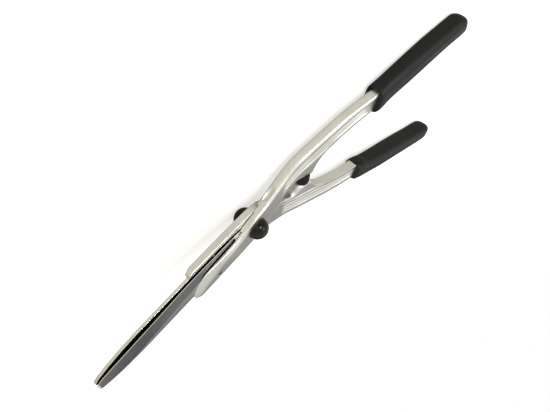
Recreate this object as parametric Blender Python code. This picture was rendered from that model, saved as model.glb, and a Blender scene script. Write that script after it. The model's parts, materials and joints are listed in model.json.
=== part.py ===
"""Hedge shears: two mirrored handle arms, half lapped on one pivot bolt, each carrying a blade."""

import math

import bmesh
import bpy
from mathutils import Vector

MM = 0.001

# Overall layout, in millimetres, with the pivot axis along Z through the origin.
TIP_X = -254.0
NOSE_X = -107.5
GRIP_START = 187.0
GRIP_END = 343.5
TANG_END = 330.0
GAP = 0.3

# The handles leave the blade plane at this slope, starting softly from this distance.
CRANK = math.radians(10.8)
CRANK_START = 50.0
CRANK_SOFTNESS = 8.0

# Half lap at the pivot.
LAP_HALF = 9.2
LAP_RADIUS = 28.5
LAP_CLEARANCE = 0.15
ARM_HALF = 6.65
CROTCH_BOTTOM = -4.5
EASING = 1.2
TANG_HALF_WIDTH = 9.0
TANG_HALF = 5.0

# Plan edges of an arm whose handle is on the +Y side: (distance along X, Y).
HANDLE_EDGE = [
    (-107.5, -19.0), (-106.0, -13.0), (-102.0, -6.0), (-95.0, 0.5), (-86.0, 4.4), (-72.0, 6.2),
    (-55.0, 7.0), (-40.0, 8.2), (-27.0, 11.2), (-12.0, 16.8), (0.0, 22.0), (10.0, 24.5), (20.0, 27.0),
    (30.0, 31.5), (50.0, 41.5), (75.0, 55.1), (100.0, 64.4), (130.0, 74.3), (160.0, 82.0), (200.0, 86.5),
]
FRONT_EDGE = [
    (-107.5, -24.0), (-105.5, -25.8), (-99.0, -26.6), (-65.0, -26.2), (-33.0, -25.4), (-12.0, -24.3),
    (0.0, -23.0), (12.0, -20.5), (22.0, -16.0), (33.0, -8.6), (44.0, -0.4), (46.0, 0.9), (54.0, 6.2),
    (64.0, 13.4), (70.0, 15.2),
]
UPPER_LUG = [(76.0, 15.2), (84.0, 13.0), (92.0, 10.6), (99.0, 8.6)]
LOWER_LUG = [(74.0, 14.2), (80.0, 10.0), (84.0, 8.0), (99.0, 8.0)]
REAR_EDGE = [
    (101.5, 12.5), (104.0, 18.5), (108.0, 25.0), (114.0, 32.0), (122.0, 38.5), (130.0, 43.4),
    (160.0, 53.4), (200.0, 60.5),
]
RIB_EDGE = [(46.0, 12.0), (60.0, 18.0), (75.0, 25.0), (100.0, 32.5), (122.0, 40.5), (130.0, 45.0)]

# Blade holder: the ridge of its front face, and its lip's height over the blade, lower at the nose.
RIDGE_LINE = [
    (-107.5, -25.0), (-102.0, -23.0), (-90.0, -17.0), (-75.0, -10.5), (-58.0, -3.6), (-42.0, 0.9),
    (-26.0, 4.0), (-14.0, 10.0), (-6.0, 14.5),
]
LIP = 3.0
NOSE_LIP = 1.0

# Middle line of a grip.
GRIP_LINE = [(187.0, 73.5), (230.0, 86.3), (270.0, 96.3), (310.0, 105.6), (343.5, 113.4)]

# Ribbed pocket across the front face, from the outer edge inwards: (fraction, depth).
RIBS = [
    (0.02, 0.0), (0.09, 0.0), (0.14, 1.0), (0.22, 1.0), (0.27, 0.25), (0.36, 0.25), (0.41, 1.0),
    (0.49, 1.0), (0.54, 0.25), (0.66, 0.25), (0.71, 1.0), (0.80, 1.0), (0.85, 0.0), (0.98, 0.0),
]
RIB_DEPTH = 1.5
WEB_DROP = 0.7

# Blades: plan edges of the blade carried by that same arm.
BLADE_THICK = 3.8
CUTTING_LAND = 0.35
BEVEL_LINE = [
    (-254.0, -6.0), (-238.0, -12.6), (-215.0, -15.6), (-190.0, -13.5), (-155.0, -7.5), (-134.0, -4.0),
    (-107.0, -0.5), (-60.0, 2.5), (-30.0, 4.0),
]
EYE_RADIUS = 13.0
CUTTING_EDGE = [
    (-254.0, 3.0), (-240.0, 4.2), (-212.0, 6.2), (-176.0, 8.6), (-150.0, 10.8), (-120.0, 13.2), (-90.0, 13.8),
    (-60.0, 13.0), (-30.0, 12.6), (-16.0, 12.6), (0.0, 13.0),
]
SPINE_EDGE = [
    (-254.0, -8.5), (-245.0, -11.0), (-232.0, -15.0), (-210.0, -19.0), (-180.0, -21.2), (-110.0, -21.4),
    (-60.0, -20.8), (-30.0, -17.0), (-12.0, -13.2), (0.0, -13.0),
]
TIP_ROUNDING = 9.0

# Pivot stack.
BUSH_RADIUS = 6.0
RUNNING_CLEARANCE = 0.08
BOLT_RADIUS = 4.0
HEX_FLATS = 13.0
CAP_RADIUS = 13.8
CAP_HEIGHT = 12.8
CAP_WALL = 1.2
SEAT_THICK = 1.2
STACK_GAP = 0.1
SEAT_RADIUS = 14.2

# Blade screws and the rubber buffer.
SCREW_X = -67.0
SCREW_Y = -17.5
SCREW_RADIUS = 2.0
SCREW_HEAD_RADIUS = 3.6
BUFFER_X = 91.0
BUFFER_Y = -1.5
BUFFER_RADIUS = 8.8
BUFFER_BACK = 11.6
STEM_RADIUS = 4.0
STEM_END = 21.0

# Grips: half sizes along the grip, (fraction of length, millimetres).
GRIP_OUTER_SIDE = [
    (0.0, 13.4), (0.03, 13.8), (0.12, 14.8), (0.30, 15.2), (0.60, 15.0), (0.90, 14.2), (1.0, 13.6),
]
GRIP_INNER_SIDE = [
    (0.0, 16.4), (0.03, 16.7), (0.12, 15.0), (0.34, 15.6), (0.58, 14.8), (0.76, 13.8), (0.90, 14.6),
    (1.0, 14.0),
]
GRIP_TOP = [(0.0, 13.6), (0.03, 14.0), (0.12, 13.4), (0.35, 13.0), (0.60, 12.1), (0.90, 11.4), (1.0, 10.8)]
GRIP_ARCH = 2.6

# Slant of the grips' mouths: shift along X at (outer bottom, outer top, inner top, inner bottom).
UPPER_MOUTH = (15.0, 12.0, -1.0, -1.0)
LOWER_MOUTH = (2.0, -2.5, -4.5, -3.5)
MOUTH_FADE = 35.0
GRIP_SLOPE = 0.26
GRIP_ROUNDING = 0.075
GRIP_CORNER = 11.4
BORE_GAP = 0.5


def clear_scene():
    for obj in list(bpy.data.objects):
        bpy.data.objects.remove(obj, do_unlink=True)


def material(name, colour, roughness, metallic):
    made = bpy.data.materials.new(name)
    made.use_nodes = True
    shader = made.node_tree.nodes["Principled BSDF"]
    shader.inputs["Base Color"].default_value = (*colour, 1.0)
    shader.inputs["Roughness"].default_value = roughness
    shader.inputs["Metallic"].default_value = metallic
    return made


def mix(a, b, share):
    return a + (b - a) * share


def smooth(start, end, x):
    share = min(max((x - start) / (end - start), 0.0), 1.0)
    return share * share * (3.0 - 2.0 * share)


def slope_at(points, k):
    """Slope of the curve at point k: level at a turn, so that the curve never overshoots."""
    steps = [(b[1] - a[1]) / (b[0] - a[0]) for a, b in zip(points, points[1:])]
    if k == 0 or k == len(points) - 1:
        return steps[min(k, len(steps) - 1)]
    before, after = steps[k - 1], steps[k]
    if before * after <= 0.0:
        return 0.0
    return 2.0 * before * after / (before + after)


def along(points, x):
    """Value at x of the smooth curve through the points, held beyond its ends."""
    if x <= points[0][0]:
        return points[0][1]
    if x >= points[-1][0]:
        return points[-1][1]
    k = max(i for i in range(len(points) - 1) if points[i][0] <= x)
    (x0, y0), (x1, y1) = points[k], points[k + 1]
    t = (x - x0) / (x1 - x0)
    rise = slope_at(points, k) * (x1 - x0)
    fall = slope_at(points, k + 1) * (x1 - x0)
    bend = (t**3 - 2 * t**2 + t) * rise + (t**3 - t**2) * fall
    return (2 * t**3 - 3 * t**2 + 1) * y0 + (3 * t**2 - 2 * t**3) * y1 + bend


def crank_height(x):
    """Height of the handles' middle plane over the blade plane."""
    return math.tan(CRANK) * CRANK_SOFTNESS * math.log1p(math.exp((x - CRANK_START) / CRANK_SOFTNESS))


def rounded(corners, points_each):
    """The closed outline of the corners (x, y, z, rounding), each rounding a short curve."""
    outline = []
    for i, (*place, size) in enumerate(corners):
        corner = Vector(place)
        before = Vector(corners[i - 1][:3]) - corner
        after = Vector(corners[(i + 1) % len(corners)][:3]) - corner
        if size == 0.0:
            outline.append(tuple(corner))
            continue
        start = corner + before.normalized() * min(size, before.length * 0.49)
        end = corner + after.normalized() * min(size, after.length * 0.49)
        for step in range(points_each):
            t = step / (points_each - 1)
            outline.append(tuple(start * (1 - t) ** 2 + corner * (2 * t * (1 - t)) + end * t**2))
    return outline


def spread(start, end, spacing):
    count = max(1, round((end - start) / spacing))
    return [start + (end - start) * i / count for i in range(count)]


def add_object(name, mesh, look, parent):
    obj = bpy.data.objects.new(name, mesh)
    bpy.context.scene.collection.objects.link(obj)
    obj.parent = parent
    if look is not None:
        mesh.materials.append(look)
    return obj


def soften(mesh, angle):
    mesh.shade_smooth()
    mesh.set_sharp_from_angle(angle=math.radians(angle))


def mesh_of(name, points, faces, angle=32.0):
    """Mesh from millimetre points, its faces turned outwards."""
    mesh = bpy.data.meshes.new(name)
    mesh.from_pydata([Vector(point) * MM for point in points], [], faces)
    turned_out = bmesh.new()
    turned_out.from_mesh(mesh)
    bmesh.ops.recalc_face_normals(turned_out, faces=turned_out.faces)
    turned_out.to_mesh(mesh)
    turned_out.free()
    soften(mesh, angle)
    return mesh


def loft(name, rings, angle=32.0):
    """Closed mesh through rings that have equal numbers of points."""
    count = len(rings[0])
    points = [point for ring in rings for point in ring]
    faces = [list(range(count)), list(range((len(rings) - 1) * count, len(rings) * count))]
    for r in range(len(rings) - 1):
        for i in range(count):
            j = (i + 1) % count
            faces.append([r * count + i, r * count + j, (r + 1) * count + j, (r + 1) * count + i])
    return mesh_of(name, points, faces, angle)


def turned(name, profile, segments=32, closed=False, hexagonal=(), angle=32.0):
    """Mesh turned about Z. The profile (r, z) starts and ends on the axis, or closes on itself.

    The rings whose numbers are in hexagonal have six flats at r instead of a round.
    """
    points, rings = [], []
    for number, (r, z) in enumerate(profile):
        rings.append((len(points), r))
        for i in range(segments if r > 0.0 else 1):
            turn = 2.0 * math.pi * i / segments
            reach = r
            if number in hexagonal:
                reach = r / math.cos((turn + math.pi / 6) % (math.pi / 3) - math.pi / 6)
            points.append((reach * math.cos(turn), reach * math.sin(turn), z))
    pairs = list(zip(rings, rings[1:]))
    if closed:
        pairs.append((rings[-1], rings[0]))
    faces = []
    for (a, a_r), (b, b_r) in pairs:
        for i in range(segments):
            j = (i + 1) % segments
            if a_r == 0.0:
                faces.append([a, b + i, b + j])
            elif b_r == 0.0:
                faces.append([a + i, a + j, b])
            else:
                faces.append([a + i, a + j, b + j, b + i])
    return mesh_of(name, points, faces, angle)


def flipped(mesh):
    """Turns a mesh half a turn about X, from the upper half of the lap to the lower."""
    for vertex in mesh.vertices:
        vertex.co = (vertex.co.x, -vertex.co.y, -vertex.co.z)
    return mesh


def moved(mesh, offset):
    for vertex in mesh.vertices:
        vertex.co += Vector(offset) * MM
    return mesh


def cut(obj, mesh, name):
    """Cuts a hidden mesh out of the object."""
    cutter = add_object(name, mesh, None, obj.parent)
    cutter.hide_render = True
    cutter.display_type = "WIRE"
    modifier = obj.modifiers.new(name, "BOOLEAN")
    modifier.operation = "DIFFERENCE"
    modifier.solver = "EXACT"
    modifier.object = cutter


def drum(name, x, y, radius, low, high, segments=48):
    profile = [(0.0, low), (radius, low), (radius, high), (0.0, high)]
    return moved(turned(name, profile, segments), (x, y, 0.0))


def square_up(x, y, z, crank):
    """Turns a handle's cross-section, in the handle's plane, until it is square with the grip."""
    back = GRIP_SLOPE * smooth(120.0, GRIP_START, x) * (y - along(GRIP_LINE, x))
    return (x - back, y, z - crank * math.tan(CRANK) * back)


def above(floor, height):
    """The height, eased so that it never falls below the floor."""
    return floor + EASING * math.log1p(math.exp((height - floor) / EASING))


def blade_edge(x, crank):
    return along(FRONT_EDGE + (UPPER_LUG if crank > 0 else LOWER_LUG) + REAR_EDGE, x)


def arm_faces(x, crank):
    """Plan edges and face heights of an arm at x: outer, inner, top, bottom."""
    slim = smooth(196.0, 212.0, x)
    line = along(GRIP_LINE, x)
    outer = mix(along(HANDLE_EDGE, x), line + TANG_HALF_WIDTH, slim)
    inner = mix(blade_edge(x, crank), line - TANG_HALF_WIDTH, slim)
    half = mix(ARM_HALF, TANG_HALF, slim)
    leave = smooth(14.0, 50.0, x)
    front = mix(LAP_HALF, above(LAP_HALF, crank_height(x) + half), leave)
    back = above(CROTCH_BOTTOM, crank_height(x) - half)
    top, bottom = (front, back) if crank > 0 else (mix(LAP_HALF, -back, leave), -front)
    if x < 4.0:
        bottom = LAP_CLEARANCE
    return outer, inner, top, bottom


def rib_share(x):
    return smooth(46.0, 60.0, x) * (1.0 - smooth(174.0, 184.0, x))


def web_share(x):
    return smooth(44.0, 54.0, x) * (1.0 - smooth(120.0, 129.0, x))


def top_height(x, y, outer, top):
    """The top face: flat on a handle, and falling towards the cutting side on a blade holder."""
    fall = smooth(-4.0, -28.0, x)
    ridge = along(RIDGE_LINE, x)
    if y <= ridge or fall == 0.0:
        return top
    share = min((y - ridge) / (outer - ridge), 1.0)
    low = BLADE_THICK + mix(NOSE_LIP, LIP, smooth(-96.0, -62.0, x))
    return mix(top, mix(top, low, share**1.25), fall)


def arm_ring(x, crank):
    outer, inner, top, bottom = arm_faces(x, crank)
    top -= 2.2 * smooth(-98.0, NOSE_X, x)
    width = outer - inner
    inner_round = min(mix(2.4, 2.2, smooth(0.0, 30.0, x)), width * 0.2)
    outer_round = min(mix(1.2, 4.2, smooth(-30.0, 10.0, x)), width * 0.2)
    web = web_share(x)
    rim = mix(inner + inner_round + 0.4, along(RIB_EDGE, x), web)
    depth = RIB_DEPTH * rib_share(x)
    edge_top = top_height(x, outer, outer, top)
    start = outer - outer_round
    front = 1.0 if crank > 0 else 0.0
    upper = [(start + (rim - start) * f, d * depth * front) for f, d in RIBS]
    lower = [(start + (rim - start) * f, d * depth * (1.0 - front)) for f, d in RIBS]
    drop = WEB_DROP * web
    corners = [(outer, bottom, outer_round), (outer, edge_top, outer_round)]
    corners += [(y, top_height(x, y, outer, top) - d, 0.0) for y, d in upper]
    web_top = top - drop * front
    web_bottom = bottom + drop * (1.0 - front)
    corners += [(rim - 0.2, web_top, 0.0), (inner, web_top, inner_round)]
    corners += [(inner, web_bottom, inner_round), (rim - 0.2, web_bottom, 0.0)]
    if front == 0.0:
        corners += [(y, bottom + d, 0.0) for y, d in reversed(lower)]
    return [square_up(*point, crank) for point in rounded([(x, *corner) for corner in corners], 3)]


def arm_stations():
    nose = [NOSE_X, -106.8, -105.5, -103.5, -101.0]
    front = spread(-98.0, -34.0, 16.0) + spread(-34.0, 3.9, 5.4)
    lap = [3.95, 4.05] + spread(9.0, 44.0, 6.0)
    lugs = [44.0, 46.0] + spread(50.0, 72.0, 4.0) + spread(72.0, 116.0, 3.7)
    handle = spread(116.0, 168.0, 13.0) + spread(168.0, 184.0, 4.0)
    tang = spread(184.0, 214.0, 3.8) + spread(214.0, TANG_END, 60.0) + [TANG_END]
    return nose + front + lap + lugs + handle + tang


def blade_bounds(x, grow):
    """Spine and cutting edge of a blade at x, both pushed out by grow."""
    spine = along(SPINE_EDGE, x)
    edge = along(CUTTING_EDGE, x)
    if x < TIP_X + TIP_ROUNDING:
        share = (x - TIP_X) / TIP_ROUNDING
        size = math.sqrt(max(1.0 - (1.0 - share) ** 2, 0.02))
        middle = mix(spine, edge, 0.5)
        spine, edge = mix(middle, spine, size), mix(middle, edge, size)
    if x > 0.0:
        reach = math.sqrt(max(EYE_RADIUS**2 - x**2, 1.0))
        spine, edge = -reach, reach
    return spine - grow, edge + grow


def blade_ring(x):
    spine, edge = blade_bounds(x, 0.0)
    bevel = (edge - along(BEVEL_LINE, x)) * smooth(-10.0, -44.0, x) + 0.8
    bevel = min(bevel, (edge - spine) * 0.85)
    low = LAP_CLEARANCE
    high = low + BLADE_THICK
    land = mix(high - 0.8, low + CUTTING_LAND, smooth(-10.0, -30.0, x))
    chamfer = min(0.5, (edge - spine) * 0.1)
    outline = [(edge, low), (edge, land), (edge - bevel, high), (spine + chamfer, high)]
    outline += [(spine, high - chamfer), (spine, low)]
    return [(x, y, z) for y, z in outline]


def blade_mesh(name):
    tip = [TIP_X + TIP_ROUNDING * (1.0 - math.cos(a * math.pi / 12)) for a in range(6)]
    body = spread(TIP_X + TIP_ROUNDING, -60.0, 8.0) + spread(-60.0, 0.0, 5.0)
    eye = [EYE_RADIUS * math.sin(a * math.pi / 20) for a in range(10)] + [EYE_RADIUS - 0.02]
    return loft(name, [blade_ring(x) for x in tip + body + eye])


def seat_mesh(name):
    """Cutter for the seat of a blade in its arm."""
    rings = []
    places = spread(-135.0, 0.0, 5.0)
    places += [EYE_RADIUS * math.sin(a * math.pi / 20) for a in range(10)] + [EYE_RADIUS + GAP]
    for x in places:
        spine, edge = blade_bounds(x, GAP + 0.05)
        ceiling = LAP_CLEARANCE + BLADE_THICK + GAP
        rings.append([(x, edge, -1.0), (x, edge, ceiling), (x, spine, ceiling), (x, spine, -1.0)])
    return loft(name, rings)


def tongue_mesh(name, crank):
    """Cutter for the recess that takes the other arm's half of the lap, up to the crotch."""
    rings = []
    for x in [6.0, 12.0, 22.0, 27.0, 33.0, 38.0, 44.0, 47.0]:
        reach = -blade_edge(x, -crank) + 0.5
        low = blade_edge(x, crank) - 4.0
        rings.append([(x, reach, -14.0), (x, reach, LAP_CLEARANCE), (x, low, LAP_CLEARANCE), (x, low, -14.0)])
    return loft(name, rings)


def scoop_mesh(name):
    """Cutter for the oval hollow on the outer edge beside the pivot."""
    points = [(math.sin(a * math.pi / 12), -math.cos(a * math.pi / 12)) for a in range(13)]
    mesh = turned(name, [(max(r, 0.0) if 0 < i < 12 else 0.0, z) for i, (r, z) in enumerate(points)], 24)
    turn = math.radians(27.0)
    for vertex in mesh.vertices:
        x, y, z = vertex.co.x * 13.0, vertex.co.y * 4.6, vertex.co.z * 5.2
        vertex.co = (
            x * math.cos(turn) - y * math.sin(turn) + 30.0 * MM,
            x * math.sin(turn) + y * math.cos(turn) + 33.9 * MM,
            z + 1.0 * MM,
        )
    return mesh


def ball_mesh(name, radius, rings=10):
    profile = [(0.0, -radius)]
    for k in range(1, rings):
        turn = math.pi * k / rings
        profile.append((radius * math.sin(turn), -radius * math.cos(turn)))
    return turned(name, profile + [(0.0, radius)], 24)


def turned_to_y(mesh):
    """Lays a mesh turned about Z over so that its axis runs along Y."""
    for vertex in mesh.vertices:
        vertex.co = (vertex.co.x, -vertex.co.z, vertex.co.y)
    return mesh


def cut_pivot_side(arm, name, flip):
    hole = BUSH_RADIUS + RUNNING_CLEARANCE
    shank = SCREW_RADIUS + 0.2
    head = SCREW_HEAD_RADIUS + 0.4
    cutters = {
        "lap": drum(name + "_lap", 0.0, 0.0, LAP_RADIUS, -14.0, LAP_CLEARANCE, 64),
        "tongue": tongue_mesh(name + "_tongue", -1 if flip else 1),
        "seat": seat_mesh(name + "_seat"),
        "pivot": drum(name + "_pivot", 0.0, 0.0, hole, -20.0, 20.0),
        "screw": drum(name + "_screw", SCREW_X, SCREW_Y, shank, 2.0, 20.0, 24),
        "head": drum(name + "_head", SCREW_X, SCREW_Y, head, 6.6, 20.0, 32),
        "scoop": scoop_mesh(name + "_scoop"),
    }
    for part, mesh in cutters.items():
        cut(arm, flipped(mesh) if flip else mesh, name + "_" + part)


def build_arm(name, crank, look, parent):
    mesh = loft(name, [arm_ring(x, crank) for x in arm_stations()], 28.0)
    flip = crank < 0
    if flip:
        mesh = flipped(mesh)
    arm = add_object(name, mesh, look, parent)
    cut_pivot_side(arm, name, flip)
    at = (BUFFER_X, 0.0, crank_height(BUFFER_X))
    if flip:
        cup = moved(ball_mesh(name + "_cup", BUFFER_RADIUS + GAP), (at[0], BUFFER_Y, at[2]))
        cut(arm, cup, name + "_cup")
    else:
        head = BUFFER_RADIUS + GAP
        profile = [(0.0, -STEM_END - 0.4), (STEM_RADIUS + 0.15, -STEM_END - 0.4)]
        profile += [(STEM_RADIUS + 0.15, -BUFFER_BACK - GAP), (head, -BUFFER_BACK - GAP)]
        profile += [(head, 0.0), (0.0, 0.0)]
        cut(arm, moved(turned_to_y(turned(name + "_socket", profile, 24)), at), name + "_socket")
    return arm


def build_blade(name, flip, look, parent):
    body = blade_mesh(name)
    eye = drum(name + "_eye", 0.0, 0.0, BUSH_RADIUS + RUNNING_CLEARANCE, -8.0, 8.0)
    thread = drum(name + "_thread", SCREW_X, SCREW_Y, SCREW_RADIUS + 0.15, -8.0, 8.0, 24)
    if flip:
        body, eye, thread = flipped(body), flipped(eye), flipped(thread)
    blade = add_object(name, body, look, parent)
    cut(blade, eye, name + "_eye")
    cut(blade, thread, name + "_thread")
    return blade


def grip_underside(share):
    """Depth of a grip below its middle line. The rear end lies level with the rear pivot cover at rest."""
    base = LAP_HALF + SEAT_THICK + 2 * STACK_GAP
    dome = math.hypot(CAP_RADIUS * math.sin(CRANK), CAP_HEIGHT * math.cos(CRANK))
    ground = base * math.cos(CRANK) + dome - CRANK_START * math.sin(CRANK)
    return ground / math.cos(CRANK) - GRIP_ARCH * (1.0 - smooth(0.10, 0.72, share))


def slid(x, shifts):
    """The four places along X of a grip's corners, slanted at the mouth."""
    fade = 1.0 - smooth(GRIP_START, GRIP_START + MOUTH_FADE, x)
    return [x + fade * shift for shift in shifts]


def grip_outer_ring(x, size, shifts):
    corners = []
    for place, outwards, up in zip(slid(x, shifts), (1, 1, -1, -1), (-1, 1, 1, -1)):
        share = (place - GRIP_START) / (GRIP_END - GRIP_START)
        side = along(GRIP_OUTER_SIDE if outwards > 0 else GRIP_INNER_SIDE, share)
        height = along(GRIP_TOP, share) if up > 0 else grip_underside(share)
        y = along(GRIP_LINE, place) + outwards * side * size
        corners.append((place, y, crank_height(place) + up * height * size, GRIP_CORNER * size))
    return [square_up(*point, 1) for point in rounded(corners, 5)]


def grip_inner_ring(x, shifts):
    corners = []
    for place, outwards, up in zip(slid(x, shifts), (1, 1, -1, -1), (-1, 1, 1, -1)):
        outer, inner, top, bottom = arm_faces(place, 1)
        y = outer + BORE_GAP if outwards > 0 else inner - BORE_GAP
        corners.append((place, y, top + BORE_GAP if up > 0 else bottom - BORE_GAP, 2.4))
    return [square_up(*point, 1) for point in rounded(corners, 5)]


def build_grip(name, mirrored, shifts, look, parent):
    bore = [TANG_END + 1.0] + spread(214.0, TANG_END, 60.0)[::-1]
    bore += spread(191.0, 214.0, 3.9)[::-1] + [GRIP_START]
    rings = [grip_inner_ring(x, shifts) for x in bore]
    outside = [(0.0, 0.955), (0.006, 0.99)]
    outside += [(share, 1.0) for share in spread(0.018, 0.12, 0.025)]
    outside += [(share, 1.0) for share in spread(0.12, 1.0 - GRIP_ROUNDING, 0.045)]
    for step in range(10):
        turn = math.pi / 2 * step / 9.6
        outside.append((1.0 - GRIP_ROUNDING * (1.0 - math.sin(turn)), math.cos(turn)))
    rings += [grip_outer_ring(mix(GRIP_START, GRIP_END, share), size, shifts) for share, size in outside]
    if mirrored:
        rings = [[(x, -y, z) for x, y, z in ring] for ring in rings]
    return add_object(name, loft(name, rings, 50.0), look, parent)


def build_buffer(look, parent):
    profile = [(0.0, -STEM_END), (STEM_RADIUS - 0.6, -STEM_END), (STEM_RADIUS, -STEM_END + 0.8)]
    profile += [(STEM_RADIUS, -BUFFER_BACK), (BUFFER_RADIUS - 0.8, -BUFFER_BACK)]
    profile += [(BUFFER_RADIUS, -BUFFER_BACK + 0.8)]
    for step in range(7):
        turn = math.pi / 2 * step / 6
        reach = BUFFER_RADIUS * math.cos(turn) if step < 6 else 0.0
        profile.append((reach, BUFFER_RADIUS * math.sin(turn) - BUFFER_Y))
    mesh = turned_to_y(turned("rubber_buffer", profile, 24, angle=50.0))
    moved(mesh, (BUFFER_X, 0.0, crank_height(BUFFER_X)))
    return add_object("rubber_buffer", mesh, look, parent)


def cap_mesh(name, base):
    """Domed cover: a thin shell open towards the arm."""
    inner_radius = CAP_RADIUS - CAP_WALL
    inner_height = CAP_HEIGHT - CAP_WALL
    turns = [math.pi / 2 * k / 7 for k in range(8)]
    inner = [(inner_radius * math.sin(t), base + inner_height * math.cos(t)) for t in turns[1:]]
    outer = [(CAP_RADIUS * math.sin(t), base + CAP_HEIGHT * math.cos(t)) for t in turns[1:]]
    profile = [(0.0, base + inner_height)] + inner + outer[::-1] + [(0.0, base + CAP_HEIGHT)]
    return turned(name, profile, 32, angle=50.0)


def cap_seat_mesh(name, base):
    """Thin collar under a cover, with the raised ring that the cover snaps over."""
    ring = CAP_RADIUS - CAP_WALL - GAP
    top = base + SEAT_THICK
    profile = [(BOLT_RADIUS + 0.4, base), (SEAT_RADIUS - 0.3, base), (SEAT_RADIUS, base + 0.3)]
    profile += [(SEAT_RADIUS, top - 0.4), (SEAT_RADIUS - 0.4, top), (ring, top), (ring, top + 1.6)]
    profile += [(ring - 1.2, top + 1.6), (ring - 1.2, top), (BOLT_RADIUS + 0.4, top)]
    return turned(name, profile, 32, closed=True)


def washer_mesh(name, inner, outer, low, high, segments=24):
    return turned(name, [(inner, low), (outer, low), (outer, high), (inner, high)], segments, closed=True)


def disc_spring_mesh(name, low, cupped):
    """Conical spring washer, its rim high when cupped."""
    rim, hub = (0.6, 0.0) if cupped else (0.0, 0.6)
    inner, outer = BOLT_RADIUS + 0.3, 9.0
    profile = [(inner, low + hub), (outer, low + rim), (outer, low + rim + 0.8), (inner, low + hub + 0.8)]
    return turned(name, profile, 24, closed=True)


def bolt_mesh(under_head, end):
    flats = HEX_FLATS / 2
    top = under_head + 5.3
    profile = [(0.0, end), (BOLT_RADIUS - 0.8, end), (BOLT_RADIUS, end + 0.8), (BOLT_RADIUS, under_head)]
    profile += [(flats, under_head), (flats, top - 0.7), (flats - 0.5, top), (0.0, top)]
    return turned("pivot_bolt", profile, 24, hexagonal=(4, 5, 6))


def nut_mesh(near, far):
    """Hexagon nut whose far end has a round collar, bored out for the locking ring."""
    flats = HEX_FLATS / 2
    shoulder = far + 2.0
    profile = [(BOLT_RADIUS + 0.2, near), (flats - 0.4, near), (flats, near - 0.5), (flats, shoulder)]
    profile += [(5.9, shoulder), (5.9, far), (5.1, far), (5.1, shoulder + 0.2)]
    profile += [(BOLT_RADIUS + 0.2, shoulder + 0.2)]
    return turned("pivot_nut", profile, 24, closed=True, hexagonal=(1, 2, 3))


def screw_mesh(name):
    head_low, head_top = 7.6, 9.4
    profile = [(0.0, 0.6), (SCREW_RADIUS - 0.3, 0.6), (SCREW_RADIUS, 0.9), (SCREW_RADIUS, head_low)]
    profile += [(SCREW_HEAD_RADIUS, head_low), (SCREW_HEAD_RADIUS, head_top - 0.5)]
    profile += [(SCREW_HEAD_RADIUS - 0.6, head_top), (1.6, head_top), (1.6, head_top - 1.1)]
    profile += [(0.0, head_top - 1.1)]
    return moved(turned(name, profile, 24, hexagonal=(7, 8)), (SCREW_X, SCREW_Y, 0.0))


def build_pivot(looks, parent):
    """The stack on the pivot bolt: everything between the two covers."""
    seat = LAP_HALF + STACK_GAP
    first = seat + SEAT_THICK + STACK_GAP
    nut = -(first + 3.0)
    pieces = [
        (washer_mesh("pivot_bush", BOLT_RADIUS + 0.15, BUSH_RADIUS, -8.9, 8.9, 48), "bronze"),
        (cap_seat_mesh("cap_seat_front", seat), "plastic"),
        (flipped(cap_seat_mesh("cap_seat_rear", seat)), "plastic"),
        (cap_mesh("cap_front", first), "cap"),
        (flipped(cap_mesh("cap_rear", first)), "cap"),
        (washer_mesh("washer_front", BOLT_RADIUS + 0.3, 8.5, first, first + 1.5), "steel"),
        (bolt_mesh(first + 1.6, -first - 8.9), "steel"),
        (flipped(disc_spring_mesh("disc_spring_inner", first, False)), "spring"),
        (flipped(disc_spring_mesh("disc_spring_outer", first + 1.5, True)), "spring"),
        (nut_mesh(nut, nut - 5.6), "steel"),
        (washer_mesh("nut_locking_ring", 4.15, 5.0, nut - 5.5, nut - 3.9), "nylon"),
    ]
    for mesh, look in pieces:
        add_object(mesh.name, mesh, looks[look], parent)


def build_blade_fixing(suffix, flip, looks, parent):
    screw = screw_mesh("blade_screw_" + suffix)
    washer = washer_mesh("screw_washer_" + suffix, SCREW_RADIUS + 0.2, SCREW_HEAD_RADIUS, 6.75, 7.5, 24)
    moved(washer, (SCREW_X, SCREW_Y, 0.0))
    for mesh, look in ((screw, "steel"), (washer, "spring")):
        add_object(mesh.name, flipped(mesh) if flip else mesh, looks[look], parent)


def make_looks():
    return {
        "arm": material("forged_aluminium", (0.78, 0.78, 0.74), 0.32, 1.0),
        "blade": material("blade_steel", (0.60, 0.60, 0.61), 0.24, 1.0),
        "steel": material("zinc_plated_steel", (0.62, 0.63, 0.65), 0.35, 1.0),
        "spring": material("spring_steel", (0.35, 0.36, 0.38), 0.40, 1.0),
        "bronze": material("bush_bronze", (0.60, 0.42, 0.22), 0.40, 1.0),
        "grip": material("grip_rubber", (0.028, 0.028, 0.032), 0.50, 0.0),
        "buffer": material("buffer_rubber", (0.016, 0.016, 0.016), 0.65, 0.0),
        "cap": material("cap_plastic", (0.012, 0.012, 0.012), 0.15, 0.0),
        "plastic": material("seat_plastic", (0.02, 0.02, 0.02), 0.35, 0.0),
        "nylon": material("locking_nylon", (0.72, 0.72, 0.66), 0.5, 0.0),
    }


def settle(root):
    """Shifts the shears so that they stand on Z = 0, centred over the origin."""
    bpy.context.view_layer.update()
    solids = [obj for obj in root.children if not obj.hide_render]
    corners = [obj.matrix_world @ vertex.co for obj in solids for vertex in obj.data.vertices]
    low = [min(corner[axis] for corner in corners) for axis in range(3)]
    high = [max(corner[axis] for corner in corners) for axis in range(3)]
    root.location = (-(low[0] + high[0]) / 2, -(low[1] + high[1]) / 2, -low[2])


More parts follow.
